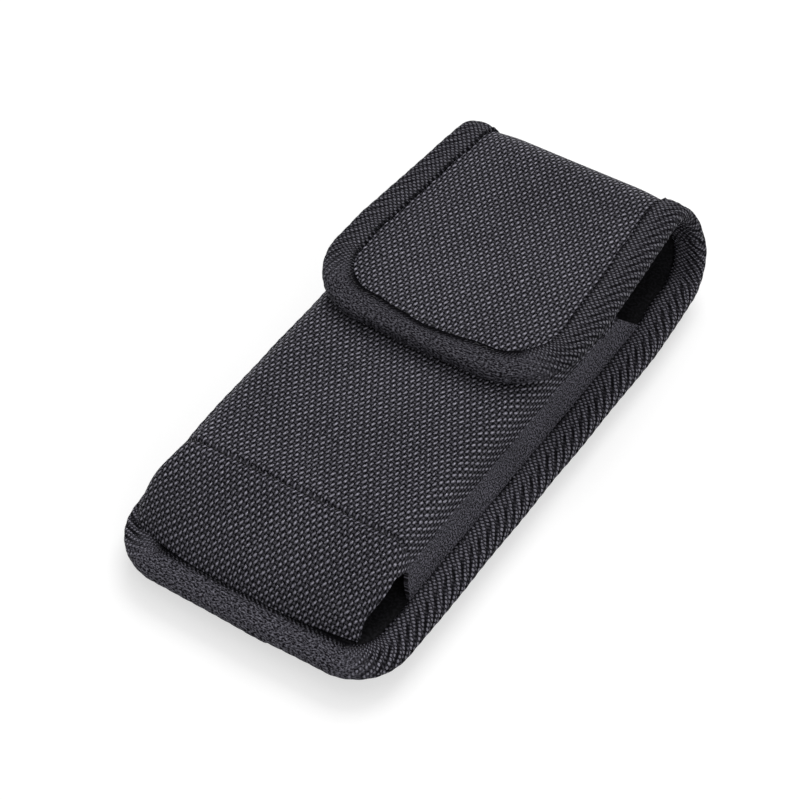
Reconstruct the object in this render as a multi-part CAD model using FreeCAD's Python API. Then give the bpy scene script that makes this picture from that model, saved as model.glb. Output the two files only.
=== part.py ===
import FreeCAD
import Part
import math
import os

# Phone belt holster: a padded back panel that runs on over a folded top into a
# closing flap, a padded front pocket with side gussets, and a webbing belt loop.
# Millimetres. X is the width, +Y runs up the case to the folded top, +Z points
# out of the front. The case lies on its belt loop, with z = 0 under the webbing.

Vector = FreeCAD.Vector

# Case
back_width = 98.0
case_length = 186.0
bottom_corner_radius = 20.0
fold_radius = 13.0
fold_wall = 4.0

# Padded panel, bound edges
shell_t = 0.8
foam_t = 2.0
lining_t = 0.4
tape_t = 0.9
tape_width = 9.5
tape_edge_bevel = 1.2

# Shoulders and waist of the strip, half widths
shoulder_length = 35.0
shoulder_radius = 60.0
fold_base_half = 46.0
waist_half = 39.2
waist_radius = 12.0
waist_start = 7.0

# Flap
flap_length = 93.7
flap_half = 43.2
flap_widest = 36.0
flap_corner_radius = 23.0
flap_tip_bow = 1.0
flap_tip_radius = 150.0
flap_clearance = 1.7

# Pocket
mouth_drop = 34.7
front_mouth_drop = 45.5
pocket_lap = 0.6
bottom_lap = 1.3
pocket_taper = 3.4
pocket_edge_radius = 5.5
seam_height = 34.2
gusset_start = 30.0
gusset_t = 0.7
gusset_hem = 6.0
front_side_drop = 4.2
seam_groove_width = 1.2
seam_groove_depth = 0.35

# Hook and loop patches
patch_width = 50.0
hook_length = 22.0
loop_length = 30.0
patch_clearance = 0.3
loop_t = 1.1
hook_inset = 3.0
loop_overrun = 4.0

# Belt loop
webbing_width = 50.0
webbing_t = 1.8
belt_gap = 4.8
loop_span = 96.0
loop_tab = 14.0
loop_ramp = 7.0
loop_bend_radius = 3.0
loop_middle = 6.0

# Folding line clearance
low_line_deg = 45.0
high_line_deg = 45.0
fold_clearance = 0.3

# Levels and lines that follow from the sizes above
panel_t = shell_t + foam_t + lining_t
edge_t = panel_t + 2 * tape_t
back_half = back_width / 2
y_bottom = -case_length / 2
y_top = case_length / 2
y_fold = y_top - fold_radius
z_shell = webbing_t + belt_gap
z_tape = z_shell - tape_t
z_tape_top = z_tape + edge_t
z_low_centre = z_tape + fold_radius
z_high_centre = z_low_centre + fold_wall
z_flap_top = z_high_centre + fold_radius
z_flap_tape = z_flap_top - edge_t
z_flap_lining = z_flap_tape + tape_t
z_front = z_flap_tape - flap_clearance
y_tip = y_top - flap_length
y_mouth = y_top - mouth_drop
y_front_mouth = y_top - front_mouth_drop
y_seam = y_bottom + seam_height
y_gusset = y_bottom + gusset_start
pocket_half = back_half - tape_width + pocket_lap
pocket_bottom = y_bottom + tape_width - bottom_lap
reach = 2 * case_length


def shifted_outline(points, radii, inset):
    """A closed outline moved inwards: straight runs parallel, corners concentric."""
    count = len(points)
    area = Vector()
    for i in range(count):
        area += points[i - 1].cross(points[i])
    normal = area.normalize()
    new_points = []
    new_radii = []
    for i in range(count):
        before = (points[i] - points[i - 1]).normalize()
        after = (points[(i + 1) % count] - points[i]).normalize()
        n_before = normal.cross(before)
        n_after = normal.cross(after)
        shift = (n_before + n_after) * (inset / (1 + n_before.dot(n_after)))
        turn = before.cross(after).dot(normal)
        new_points.append(points[i] + shift)
        bend = radii[i] - inset if turn > 0 else radii[i] + inset
        new_radii.append(max(bend, 0) if radii[i] else 0)
    return new_points, new_radii


def outline_face(points, radii, inset=0.0):
    """Flat face with straight runs and rounded corners, moved inwards if asked."""
    points, radii = shifted_outline(points, radii, inset)
    count = len(points)
    ends = []
    for i, point in enumerate(points):
        if not radii[i]:
            ends.append((point, None, point))
            continue
        before = (points[i - 1] - point).normalize()
        after = (points[(i + 1) % count] - point).normalize()
        half = before.getAngle(after) / 2
        setback = radii[i] / math.tan(half)
        middle = (before + after).normalize() * (radii[i] / math.sin(half) - radii[i])
        ends.append((point + before * setback, point + middle, point + after * setback))
    edges = []
    for i, (start, middle, end) in enumerate(ends):
        if middle is not None:
            edges.append(Part.Arc(start, middle, end).toShape())
        following = ends[(i + 1) % count][0]
        edges.append(Part.LineSegment(end, following).toShape())
    return Part.Face(Part.Wire(edges))


def mirrored_face(half_points, radii, inset=0.0):
    """Face on an outline given for +X, in order, and repeated on -X."""
    off_axis = [(p, r) for p, r in zip(half_points, radii) if p.x > 0]
    mirror = [(Vector(-p.x, p.y, p.z), r) for p, r in reversed(off_axis)]
    points = list(half_points) + [p for p, r in mirror]
    return outline_face(points, list(radii) + [r for p, r in mirror], inset)


def plan_prism(half_outline, radii, inset=0.0):
    """Tall upright prism on a plan outline given for +X."""
    points = [Vector(x, y, -reach) for x, y in half_outline]
    return mirrored_face(points, radii, inset).extrude(Vector(0, 0, 2 * reach))


def block(x0, x1, y0, y1, z0, z1):
    return Part.makeBox(x1 - x0, y1 - y0, z1 - z0, Vector(x0, y0, z0))


def one_solid(shape):
    """The single solid of a cut, with its leftover face splits removed."""
    clean = shape.removeSplitter()
    if len(clean.Solids) != 1:
        raise ValueError("expected one solid, found %d" % len(clean.Solids))
    return clean.Solids[0]


# The strip's folded path


def on_arc(centre_z, radius, angle_deg):
    angle = math.radians(angle_deg)
    return Vector(0, y_fold + radius * math.cos(angle), centre_z + radius * math.sin(angle))


def line(start, end):
    return Part.LineSegment(start, end).toShape()


def arc(centre_z, radius, start_deg, end_deg):
    angles = (start_deg, (start_deg + end_deg) / 2, end_deg)
    return Part.Arc(*[on_arc(centre_z, radius, angle) for angle in angles]).toShape()


def path(depth, part):
    """The strip's YZ path at a depth below the tape's outer face: edges, start and end."""
    radius = fold_radius - depth
    low_line = on_arc(z_low_centre, radius, -low_line_deg)
    high_line = on_arc(z_high_centre, radius, high_line_deg)
    if part == "back":
        start = Vector(0, y_bottom - edge_t, z_tape + depth)
        corner = on_arc(z_low_centre, radius, -90)
        return [line(start, corner), arc(z_low_centre, radius, -90, -low_line_deg)], start, low_line
    if part == "fold":
        wall_low = on_arc(z_low_centre, radius, 0)
        wall_high = on_arc(z_high_centre, radius, 0)
        edges = [
            arc(z_low_centre, radius, -low_line_deg, 0),
            line(wall_low, wall_high),
            arc(z_high_centre, radius, 0, high_line_deg),
        ]
        return edges, low_line, high_line
    end = Vector(0, y_tip - edge_t, z_flap_top - depth)
    corner = on_arc(z_high_centre, radius, 90)
    return [arc(z_high_centre, radius, high_line_deg, 90), line(corner, end)], high_line, end


def folding_gap(centre_z, angle_deg):
    """Thin slab on a radial folding line, as wide as the folding clearance."""
    slab = block(-reach, reach, 0, reach, -fold_clearance / 2, fold_clearance / 2)
    slab.rotate(Vector(0, 0, 0), Vector(1, 0, 0), angle_deg)
    slab.translate(Vector(0, y_fold, centre_z))
    return slab


def band(outer_depth, inner_depth, part):
    """Layer of the folded strip between two depths, before its sides are cut."""
    outer, outer_start, outer_end = path(outer_depth, part)
    inner, inner_start, inner_end = path(inner_depth, part)
    ends = [line(outer_start, inner_start), line(outer_end, inner_end)]
    face = Part.Face(Part.Wire(Part.__sortEdges__(outer + inner + ends)))
    face.translate(Vector(-reach, 0, 0))
    solid = face.extrude(Vector(2 * reach, 0, 0))
    if part != "flap":
        solid = solid.cut(folding_gap(z_low_centre, -low_line_deg))
    if part != "back":
        solid = solid.cut(folding_gap(z_high_centre, high_line_deg))
    return solid


# Outlines of the strip's three stretches


def back_outline(inset=0.0):
    shoulder = (back_half, y_top - shoulder_length)
    neck = (fold_base_half, y_fold)
    points = [(back_half, y_bottom), shoulder, neck, (fold_base_half, y_top + fold_radius)]
    return plan_prism(points, (bottom_corner_radius, shoulder_radius, shoulder_radius, 0), inset)


def flap_outline(inset=0.0):
    corner = (flap_half, y_tip + flap_tip_bow)
    widest = (flap_half, y_tip + flap_widest)
    neck = (waist_half, y_fold)
    points = [(0, y_tip), corner, widest, neck, (waist_half, y_top + fold_radius)]
    radii = (flap_tip_radius, flap_corner_radius, shoulder_radius, shoulder_radius, 0)
    return plan_prism(points, radii, inset)


def fold_outline(inset=0.0):
    """Front view of the folded end, from the wider back up to the waist at the flap."""
    low = z_low_centre - waist_start
    high = z_high_centre + waist_start
    half = [(fold_base_half, z_tape - reach), (fold_base_half, low), (waist_half, high)]
    half.append((waist_half, z_flap_top + reach))
    points = [Vector(x, 0, z) for x, z in half]
    radii = (0, waist_radius, waist_radius, 0)
    return mirrored_face(points, radii, inset).extrude(Vector(0, reach, 0))


outlines = {"back": back_outline, "fold": fold_outline, "flap": flap_outline}


def layer(part, outer_depth, inner_depth):
    """One ply of the padded strip, inside the binding tape."""
    return one_solid(band(outer_depth, inner_depth, part).common(outlines[part](tape_t)))


def depth_at(point):
    """How far a point lies inside the tape's outer face."""
    if point.y <= y_fold:
        return min(point.z - z_tape, z_flap_top - point.z)
    level = min(max(point.z, z_low_centre), z_high_centre)
    return fold_radius - math.hypot(point.y - y_fold, point.z - level)


def is_rim(edge):
    """True for the edges that run along the strip's sides and ends, at either face."""
    middle = edge.valueAt((edge.FirstParameter + edge.LastParameter) / 2)
    depths = [depth_at(p) for p in (edge.firstVertex().Point, middle, edge.lastVertex().Point)]
    on_face = all(abs(d) < 0.01 for d in depths) or all(abs(d - edge_t) < 0.01 for d in depths)
    across_fold = abs(middle.x) < 1 and middle.y > y_fold - 1
    return on_face and not across_fold


def bound_edge(part):
    """Tape wrapped round the strip's edge: bevelled outside, hollow where the plies sit."""
    outline = outlines[part]
    full = one_solid(band(0, edge_t, part).common(outline()))
    eased = full.makeChamfer(tape_edge_bevel, [e for e in full.Edges if is_rim(e)])
    plies = band(tape_t, tape_t + panel_t, part).common(outline(tape_t))
    return eased.cut(outline(tape_width)).cut(plies).removeSplitter()


# Front pocket


def pocket_slope():
    return math.atan2(z_front - z_tape_top, y_seam - pocket_bottom)


def pocket_profile(depth, y_high):
    """YZ face of the pocket's envelope: level front, then a straight slope to the bottom."""
    base = Vector(0, y_high, z_tape_top)
    top = Vector(0, y_high, z_front - depth)
    seam = Vector(0, y_seam + depth * math.tan(pocket_slope() / 2), z_front - depth)
    foot = Vector(0, pocket_bottom + depth / math.sin(pocket_slope()), z_tape_top)
    return Part.Face(Part.makePolygon([base, top, seam, foot, base]))


def pocket_envelope(depth, y_high):
    """Solid inside the pocket's surface, a given depth below its outer face."""
    lean = pocket_taper / (z_front - z_tape_top)
    z_low = z_tape_top - edge_t
    z_high = z_front + edge_t
    half_low = pocket_half - depth + lean * edge_t
    half_high = half_low - lean * (z_high - z_low)
    section = [
        Vector(-half_low, -reach, z_low), Vector(half_low, -reach, z_low),
        Vector(half_high, -reach, z_high), Vector(-half_high, -reach, z_high),
    ]
    sides = Part.Face(Part.makePolygon(section + section[:1])).extrude(Vector(0, 2 * reach, 0))
    profile = pocket_profile(depth, y_high)
    profile.translate(Vector(-reach, 0, 0))
    solid = one_solid(profile.extrude(Vector(2 * reach, 0, 0)).common(sides))
    return solid.makeFillet(pocket_edge_radius - depth, [e for e in solid.Edges if is_pocket_edge(e)])


def is_pocket_edge(edge):
    """True for the long outer edges and their run down to the bottom."""
    ends = [v.Point for v in edge.Vertexes]
    along = abs(ends[0].y - ends[1].y) > edge_t
    return along and max(p.z for p in ends) > z_tape_top + edge_t


def pocket_skin(outer_depth, inner_depth, y_high=None):
    high = y_mouth if y_high is None else y_high
    return pocket_envelope(outer_depth, high).cut(pocket_envelope(inner_depth, high + edge_t))


def front_zone(y_high):
    """The part of the pocket that the front panel takes, above a line down each side."""
    whole = block(-reach, reach, y_bottom, y_high, z_tape_top, z_front + edge_t)
    core = pocket_profile(front_side_drop, y_high + edge_t)
    core.translate(Vector(-reach, 0, 0))
    return whole.cut(core.extrude(Vector(2 * reach, 0, 0)))


def front_ply(outer_depth, inner_depth):
    return pocket_skin(outer_depth, inner_depth).common(front_zone(y_front_mouth))


def front_shell():
    """Outer nylon of the front, with the shallow line where it is stitched across."""
    groove = block(
        -reach, reach,
        y_seam - seam_groove_width / 2, y_seam + seam_groove_width / 2,
        z_front - seam_groove_depth, z_front + edge_t,
    )
    return one_solid(front_ply(0, shell_t).cut(groove))


def mouth_tape():
    """Tape wrapped round the front panel's upper edge."""
    high = y_front_mouth + tape_t
    wrap = pocket_skin(-tape_t, panel_t + tape_t, high)
    strip = block(-reach, reach, high - tape_width, high, z_tape_top, reach)
    panel = pocket_skin(0, panel_t, y_front_mouth)
    return one_solid(wrap.common(strip).common(front_zone(high)).cut(panel))


def above_gussets(shift=0.0):
    """Everything past the gussets' upper edge, which slants back from the front to the base."""
    z_side = z_front - front_side_drop
    corners = [
        (y_mouth + shift, z_tape_top), (y_front_mouth + shift, z_side),
        (y_front_mouth + shift, z_front + edge_t), (reach, z_front + edge_t), (reach, z_tape_top),
    ]
    points = [Vector(-reach, y, z) for y, z in corners]
    return Part.Face(Part.makePolygon(points + points[:1])).extrude(Vector(2 * reach, 0, 0))


def gussets():
    """Stretch side walls, doubled where their free ends are hemmed."""
    wall = pocket_skin(0, gusset_t)
    hemmed = pocket_skin(gusset_t, 2 * gusset_t)
    low_hem = block(-reach, reach, y_gusset, y_gusset + gusset_hem, 0, reach)
    both = wall.common(block(-reach, reach, y_gusset, y_mouth, 0, reach))
    both = both.fuse(hemmed.common(low_hem)).fuse(hemmed.common(above_gussets(-gusset_hem)))
    both = both.cut(above_gussets()).cut(front_zone(y_mouth)).removeSplitter()
    left = [s for s in both.Solids if s.CenterOfMass.x < 0]
    right = [s for s in both.Solids if s.CenterOfMass.x > 0]
    return left[0], right[0]


# Closure and belt loop


def patch(y0, y1, z0, z1):
    """Rectangle of hook or loop tape."""
    return block(-patch_width / 2, patch_width / 2, y0, y1, z0, z1)


def belt_loop():
    """Webbing sewn down at both ends and standing off the back between them."""
    low = loop_middle - loop_span / 2
    high = loop_middle + loop_span / 2
    under = 0.0
    tab_z = z_shell - webbing_t
    centre_line = [
        (low, tab_z), (low + loop_tab, tab_z), (low + loop_tab + loop_ramp, under),
        (high - loop_tab - loop_ramp, under), (high - loop_tab, tab_z), (high, tab_z),
    ]
    lower = [Vector(0, y, z) for y, z in centre_line]
    ramp_angle = math.atan2(tab_z - under, loop_ramp)
    shift = webbing_t * math.tan(ramp_angle / 2)
    signs = (0, 1, 1, -1, -1, 0)
    upper = [Vector(0, p.y + s * shift, p.z + webbing_t) for p, s in zip(lower, signs)]
    tight = loop_bend_radius
    wide = loop_bend_radius + webbing_t
    lower_radii = (0, tight, wide, wide, tight, 0)
    upper_radii = (0, wide, tight, tight, wide, 0)
    face = outline_face(lower + upper[::-1], lower_radii + upper_radii[::-1])
    face.translate(Vector(-webbing_width / 2, 0, 0))
    return face.extrude(Vector(webbing_width, 0, 0))


nodes = {}
plies = {
    "shell": (tape_t, tape_t + shell_t),
    "foam": (tape_t + shell_t, tape_t + shell_t + foam_t),
    "lining": (tape_t + shell_t + foam_t, tape_t + panel_t),
}
for stretch in ("back", "fold", "flap"):
    for ply, (outer_face, inner_face) in plies.items():
        nodes[stretch + "_" + ply] = layer(stretch, outer_face, inner_face)

nodes["back_binding"] = one_solid(bound_edge("back"))
nodes["flap_binding"] = one_solid(bound_edge("flap"))
for side in bound_edge("fold").Solids:
    name = "fold_binding_left" if side.CenterOfMass.x < 0 else "fold_binding_right"
    nodes[name] = side

nodes["front_shell"] = front_shell()
nodes["front_foam"] = one_solid(front_ply(shell_t, shell_t + foam_t))
nodes["front_lining"] = one_solid(front_ply(shell_t + foam_t, panel_t))
nodes["mouth_binding"] = mouth_tape()
nodes["gusset_left"], nodes["gusset_right"] = gussets()

y_hook = y_tip + tape_width + hook_inset
z_hook = z_front + loop_t + patch_clearance
nodes["hook_patch"] = patch(y_hook, y_hook + hook_length, z_hook, z_flap_lining)
y_loop = y_hook - loop_overrun
nodes["loop_patch"] = patch(y_loop, y_loop + loop_length, z_front, z_front + loop_t)
nodes["belt_loop"] = belt_loop()

os.makedirs("parts", exist_ok=True)
for name, shape in nodes.items():
    shape.exportStep("parts/" + name + ".step")
    print(name, "solids", len(shape.Solids), "volume", round(shape.Volume, 1))
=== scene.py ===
import math

import bmesh
import bpy
import numpy as np
from mathutils import Matrix, Vector

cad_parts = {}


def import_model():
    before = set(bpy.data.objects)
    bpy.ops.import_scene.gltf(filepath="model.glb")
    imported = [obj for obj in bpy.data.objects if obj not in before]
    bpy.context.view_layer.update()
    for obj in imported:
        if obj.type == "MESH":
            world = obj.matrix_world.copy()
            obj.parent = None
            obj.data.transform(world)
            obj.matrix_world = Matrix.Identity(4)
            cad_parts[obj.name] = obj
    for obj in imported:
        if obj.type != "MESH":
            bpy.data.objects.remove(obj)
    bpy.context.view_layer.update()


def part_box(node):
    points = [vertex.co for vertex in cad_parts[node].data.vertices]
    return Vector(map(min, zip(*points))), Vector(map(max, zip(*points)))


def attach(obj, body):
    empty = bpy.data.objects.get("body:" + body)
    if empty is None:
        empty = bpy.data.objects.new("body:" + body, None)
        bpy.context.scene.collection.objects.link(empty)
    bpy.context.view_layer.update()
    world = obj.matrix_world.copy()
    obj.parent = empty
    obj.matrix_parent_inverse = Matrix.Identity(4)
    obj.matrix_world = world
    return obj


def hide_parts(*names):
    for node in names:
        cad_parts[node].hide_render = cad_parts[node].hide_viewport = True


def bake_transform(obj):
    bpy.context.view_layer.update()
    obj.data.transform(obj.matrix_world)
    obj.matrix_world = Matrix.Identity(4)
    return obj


# Phone belt holster in woven nylon. Lengths are in millimetres until a mesh is made.
# The padded strip is worked out flat: x across, s along its outer face from the
# bottom of the back, over the folded top, to the flap's tip, and depth inwards.
# Materials take their weave coordinates in metres.

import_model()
METRE = 0.001


def cad_box(node):
    """Corners of a solid's box, in millimetres."""
    low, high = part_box(node)
    return [1000 * v for v in low], [1000 * v for v in high]


# Sizes taken from the frame
back_low, back_high = cad_box("back_binding")
flap_low, flap_high = cad_box("flap_binding")
fold_high = cad_box("fold_binding_left")[1]
front_low, front_high = cad_box("front_shell")
gusset_low, gusset_high = cad_box("gusset_right")
loop_low, loop_high = cad_box("belt_loop")
hook_low, hook_high = cad_box("hook_patch")
loop_tape_low, loop_tape_high = cad_box("loop_patch")

BACK_HALF = back_high[0]
Y_BOTTOM = back_low[1]
Y_TOP = fold_high[1]
Z_TAPE = back_low[2]
FLAP_HALF = flap_high[0]
Y_TIP = flap_low[1]
Z_FLAP_TOP = flap_high[2]
Z_BASE = gusset_low[2]
Z_FRONT = front_high[2]
Y_MOUTH = front_high[1]
Y_SIDE_MOUTH = gusset_high[1]
Y_GUSSET = gusset_low[1]
POCKET_HALF = gusset_high[0]
POCKET_BOTTOM = front_low[1]
EDGE_T = Z_BASE - Z_TAPE

# Sizes of the cloth
FOLD_RADIUS = 13.0
TAPE_T = 0.9
TAPE_WIDTH = 9.5
SHELL_T = 0.8
FOAM_T = 2.0
LINING_T = 0.4
PANEL_T = SHELL_T + FOAM_T + LINING_T
GUSSET_T = 0.8
WEBBING_T = 1.8

# The strip's outline, laid flat
NECK_HALF = 46.6
WALL_HALF = 43.2
MIDDLE_HALF = WALL_HALF - 1.0
WAIST_HALF = 39.2
SHOULDER = 40.0
WIDEST = 36.0
BOTTOM_BOW = 0.5
RIGHT_CORNER = 17.0
LEFT_CORNER = 20.0
LEFT_DRAW_IN = 4.6
TIP_CORNER = 23
S_STRAIGHT = 50.0
TAPE_STEP = 0.7
ARC_POINTS = 24

# The pocket
SEAM_Y = Y_BOTTOM + 34.2
POCKET_TAPER = 3.4
POCKET_EDGE = 5.5
LEVEL_DROP = 8.2
SLOPE_DROP = 2.2
SLOPE_POWER = 0.70
SLOPE_BULGE = 0.5
LEVEL_PUFF = 0.5
LEFT_BELLY = 5.0
RIGHT_BELLY = 2.4
LEFT_TOE = 2.2
RIGHT_TOE = 1.4
BOTTOM_BEND = 3.8
FRONT_COLUMNS = 60
FRONT_CROWN = 0.35
FRONT_UNEVEN = 0.16
SEAM_DEPTH = 1.2
SEAM_SPREAD = 0.8
GUSSET_LAP = 1.2
GUSSET_RISE = 3.2
GUSSET_COLUMNS = 26

# The strip's developed path
Y_FOLD = Y_TOP - FOLD_RADIUS
Z_LOW = Z_TAPE + FOLD_RADIUS
Z_HIGH = Z_FLAP_TOP - FOLD_RADIUS
QUARTER = FOLD_RADIUS * math.pi / 2
S_ARC_1 = Y_FOLD - Y_BOTTOM
S_WALL = S_ARC_1 + QUARTER
S_ARC_2 = S_WALL + Z_HIGH - Z_LOW
S_FLAP = S_ARC_2 + QUARTER
S_TIP = S_FLAP + Y_FOLD - Y_TIP
S_MIDDLE = (S_WALL + S_ARC_2) / 2
S_LOW_LINE = S_ARC_1 + QUARTER / 2
S_HIGH_LINE = S_ARC_2 + QUARTER / 2
BLEND_REACH = 10.0
BLEND_DEPTH = 2.5


def strip_point(x, s, depth):
    """Strip coordinates to the object's frame, for arrays."""
    x, s, depth = np.broadcast_arrays(np.asarray(x, float), s, depth)
    y = Y_BOTTOM + s
    z = Z_TAPE + depth
    radius = FOLD_RADIUS - depth
    angle = (s - S_ARC_1) / FOLD_RADIUS - math.pi / 2
    low = (s > S_ARC_1) & (s <= S_WALL)
    y = np.where(low, Y_FOLD + radius * np.cos(angle), y)
    z = np.where(low, Z_LOW + radius * np.sin(angle), z)
    wall = (s > S_WALL) & (s <= S_ARC_2)
    y = np.where(wall, Y_FOLD + radius, y)
    z = np.where(wall, Z_LOW + s - S_WALL, z)
    angle = (s - S_ARC_2) / FOLD_RADIUS
    high = (s > S_ARC_2) & (s <= S_FLAP)
    y = np.where(high, Y_FOLD + radius * np.cos(angle), y)
    z = np.where(high, Z_HIGH + radius * np.sin(angle), z)
    flap = s > S_FLAP
    y = np.where(flap, Y_FOLD - (s - S_FLAP), y)
    z = np.where(flap, Z_FLAP_TOP - depth, z)
    return np.stack([x, y, z], -1)


def smooth(t):
    """Soft step from 0 to 1."""
    t = np.clip(t, 0, 1)
    return t * t * (3 - 2 * t)


def ripple(a, b, seed, size):
    """Slow smooth unevenness of hand-sewn cloth, from -1 to 1, over waves of about that size."""
    rng = np.random.RandomState(seed)
    total = np.zeros(np.broadcast(a, b).shape)
    for _ in range(6):
        turn, phase = rng.uniform(0, 2 * math.pi, 2)
        wave = size * rng.uniform(0.7, 1.5)
        total += np.sin((a * math.cos(turn) + b * math.sin(turn)) * 2 * math.pi / wave + phase)
    return total / 3.5


# Outlines


def rounded(corners, step=1.0):
    """Open polyline with rounded corners, given as (x, s, radius), resampled evenly."""
    points = []
    last = len(corners) - 1
    for i, (x, s, radius) in enumerate(corners):
        here = np.array([x, s], float)
        if i in (0, last) or radius == 0:
            points.append(here)
            continue
        before = np.array(corners[i - 1][:2], float) - here
        after = np.array(corners[i + 1][:2], float) - here
        before /= np.linalg.norm(before)
        after /= np.linalg.norm(after)
        half = math.acos(np.clip(before @ after, -1, 1)) / 2
        if half > math.radians(89.5):
            points.append(here)
            continue
        middle = before + after
        centre = here + middle / np.linalg.norm(middle) * radius / math.sin(half)
        start = here + before * radius / math.tan(half) - centre
        end = here + after * radius / math.tan(half) - centre
        a0 = math.atan2(start[1], start[0])
        turn = math.atan2(start[0] * end[1] - start[1] * end[0], start @ end)
        for t in np.linspace(0, 1, ARC_POINTS):
            angle = a0 + turn * t
            points.append(centre + radius * np.array([math.cos(angle), math.sin(angle)]))
    return resampled(np.array(points), step)


def around(points):
    """Distance along a line of points."""
    gaps = np.linalg.norm(np.diff(points, axis=0), axis=1)
    return np.concatenate([[0], np.cumsum(gaps)])


def resampled(points, step):
    """The same line in even steps."""
    along = around(points)
    count = max(int(round(along[-1] / step)), 2)
    at = np.linspace(0, along[-1], count + 1)
    return np.stack([np.interp(at, along, points[:, k]) for k in range(points.shape[1])], -1)


def back_corners(bottom_half, corner_radius):
    """One side of the back; the left side draws in more towards the bottom than the right."""
    return [
        (0, -BOTTOM_BOW, 0),
        (bottom_half, 0, corner_radius),
        (BACK_HALF, S_STRAIGHT, 100),
        (BACK_HALF, Y_TOP - SHOULDER - Y_BOTTOM, 60),
        (NECK_HALF, S_ARC_1, 40),
        (WALL_HALF, S_WALL - 1.5, 40),
        (MIDDLE_HALF, S_MIDDLE, 0),
    ]


def flap_corners():
    """One side of the flap."""
    return [
        (MIDDLE_HALF, S_MIDDLE, 0),
        (WAIST_HALF, S_FLAP - 12, 14),
        (WAIST_HALF, S_FLAP, 60),
        (FLAP_HALF, S_TIP - WIDEST, 60),
        (FLAP_HALF, S_TIP - 1, TIP_CORNER),
        (0, S_TIP, 0),
    ]


back_right = rounded(back_corners(BACK_HALF, RIGHT_CORNER), TAPE_STEP)
back_left = rounded(back_corners(BACK_HALF - LEFT_DRAW_IN, LEFT_CORNER), TAPE_STEP) * [-1, 1]
flap_right = rounded(flap_corners(), TAPE_STEP)
flap_left = flap_right * [-1, 1]

# From the fold on the left, round the bottom, to the fold on the right
BACK_OUTLINE = np.concatenate([back_left[::-1], back_right[1:]])
# From the fold on the right, round the tip, to the fold on the left
FLAP_OUTLINE = np.concatenate([flap_right, flap_left[::-1][1:]])


def inward(outline):
    """Unit normals of an outline that runs anticlockwise round the cloth."""
    run = np.gradient(outline, axis=0)
    run /= np.linalg.norm(run, axis=1, keepdims=True)
    return np.stack([-run[:, 1], run[:, 0]], -1)


def half_width(outline, s, side, inset):
    """Reach of the cloth to one side at each s, a given inset in from its edge."""
    edge = outline + inward(outline) * inset
    keep = edge[:, 0] * side > 0.5
    order = np.argsort(edge[keep][:, 1])
    return np.interp(s, edge[keep][order][:, 1], np.abs(edge[keep][order][:, 0]))


# Mesh building


def add_mesh(name, points, faces, uvs, material):
    """Mesh object from points in millimetres, with one UV pair per point."""
    mesh = bpy.data.meshes.new(name)
    mesh.from_pydata([tuple(p) for p in np.asarray(points) * METRE], [], [tuple(f) for f in faces])
    layer = mesh.uv_layers.new(name="weave")
    loops = np.empty(len(mesh.loops), dtype=np.int32)
    mesh.loops.foreach_get("vertex_index", loops)
    layer.data.foreach_set("uv", (np.asarray(uvs)[loops] * METRE).astype(np.float32).ravel())
    mesh.materials.append(material)
    mesh.polygons.foreach_set("use_smooth", [True] * len(mesh.polygons))
    mesh.set_sharp_from_angle(angle=math.radians(60))
    mesh.update()
    piece = bpy.data.objects.new(name, mesh)
    bpy.context.scene.collection.objects.link(piece)
    return piece


def grid_faces(rows, columns, start=0, wrap=False, flip=False):
    """Quads over a grid of points, closed across its columns with wrap."""
    faces = []
    across = columns if wrap else columns - 1
    for i in range(rows - 1):
        for j in range(across):
            k = (j + 1) % columns
            face = [start + i * columns + j, start + i * columns + k]
            face += [start + (i + 1) * columns + k, start + (i + 1) * columns + j]
            faces.append(face[::-1] if flip else face)
    return faces


def closed_sheet(name, outer, inner, uv, material):
    """Closed cloth between two grids of points, sewn shut round its rim."""
    rows, columns = outer.shape[:2]
    count = rows * columns
    points = np.concatenate([outer.reshape(-1, 3), inner.reshape(-1, 3)])
    uvs = np.concatenate([uv.reshape(-1, 2)] * 2)
    faces = grid_faces(rows, columns) + grid_faces(rows, columns, count, flip=True)
    rim = list(range(columns))
    rim += [i * columns + columns - 1 for i in range(1, rows)]
    rim += [(rows - 1) * columns + j for j in range(columns - 2, -1, -1)]
    rim += [i * columns for i in range(rows - 2, 0, -1)]
    for a, b in zip(rim, rim[1:] + rim[:1]):
        faces.append([b, a, a + count, b + count])
    return add_mesh(name, points, faces, uvs, material)


def swept_tube(name, rings, uv, material):
    """Closed sweep of a closed profile, with flat caps."""
    rows, columns = rings.shape[:2]
    faces = grid_faces(rows, columns, wrap=True)
    faces.append(list(range(columns))[::-1])
    faces.append([(rows - 1) * columns + j for j in range(columns)])
    return add_mesh(name, rings.reshape(-1, 3), faces, uv.reshape(-1, 2), material)


def recalculated(piece):
    """Faces turned outwards."""
    work = bmesh.new()
    work.from_mesh(piece.data)
    bmesh.ops.recalc_face_normals(work, faces=work.faces)
    work.to_mesh(piece.data)
    work.free()
    return piece


# Materials

TINT = (1.0, 0.965, 1.17)
NYLON_PITCH = (1.085, 1.475)
NYLON_SLANT = -0.23
TAPE_PITCH = (0.93, 0.88)
WEBBING_PITCH = (1.6, 0.9)
RIB_PITCH = 4.4
RIB_RISE = 2.77
EDGE_STITCH_PITCH = 2.1
END_STITCH_PITCH = 1.5
FINE_FADE = 0.006


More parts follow.
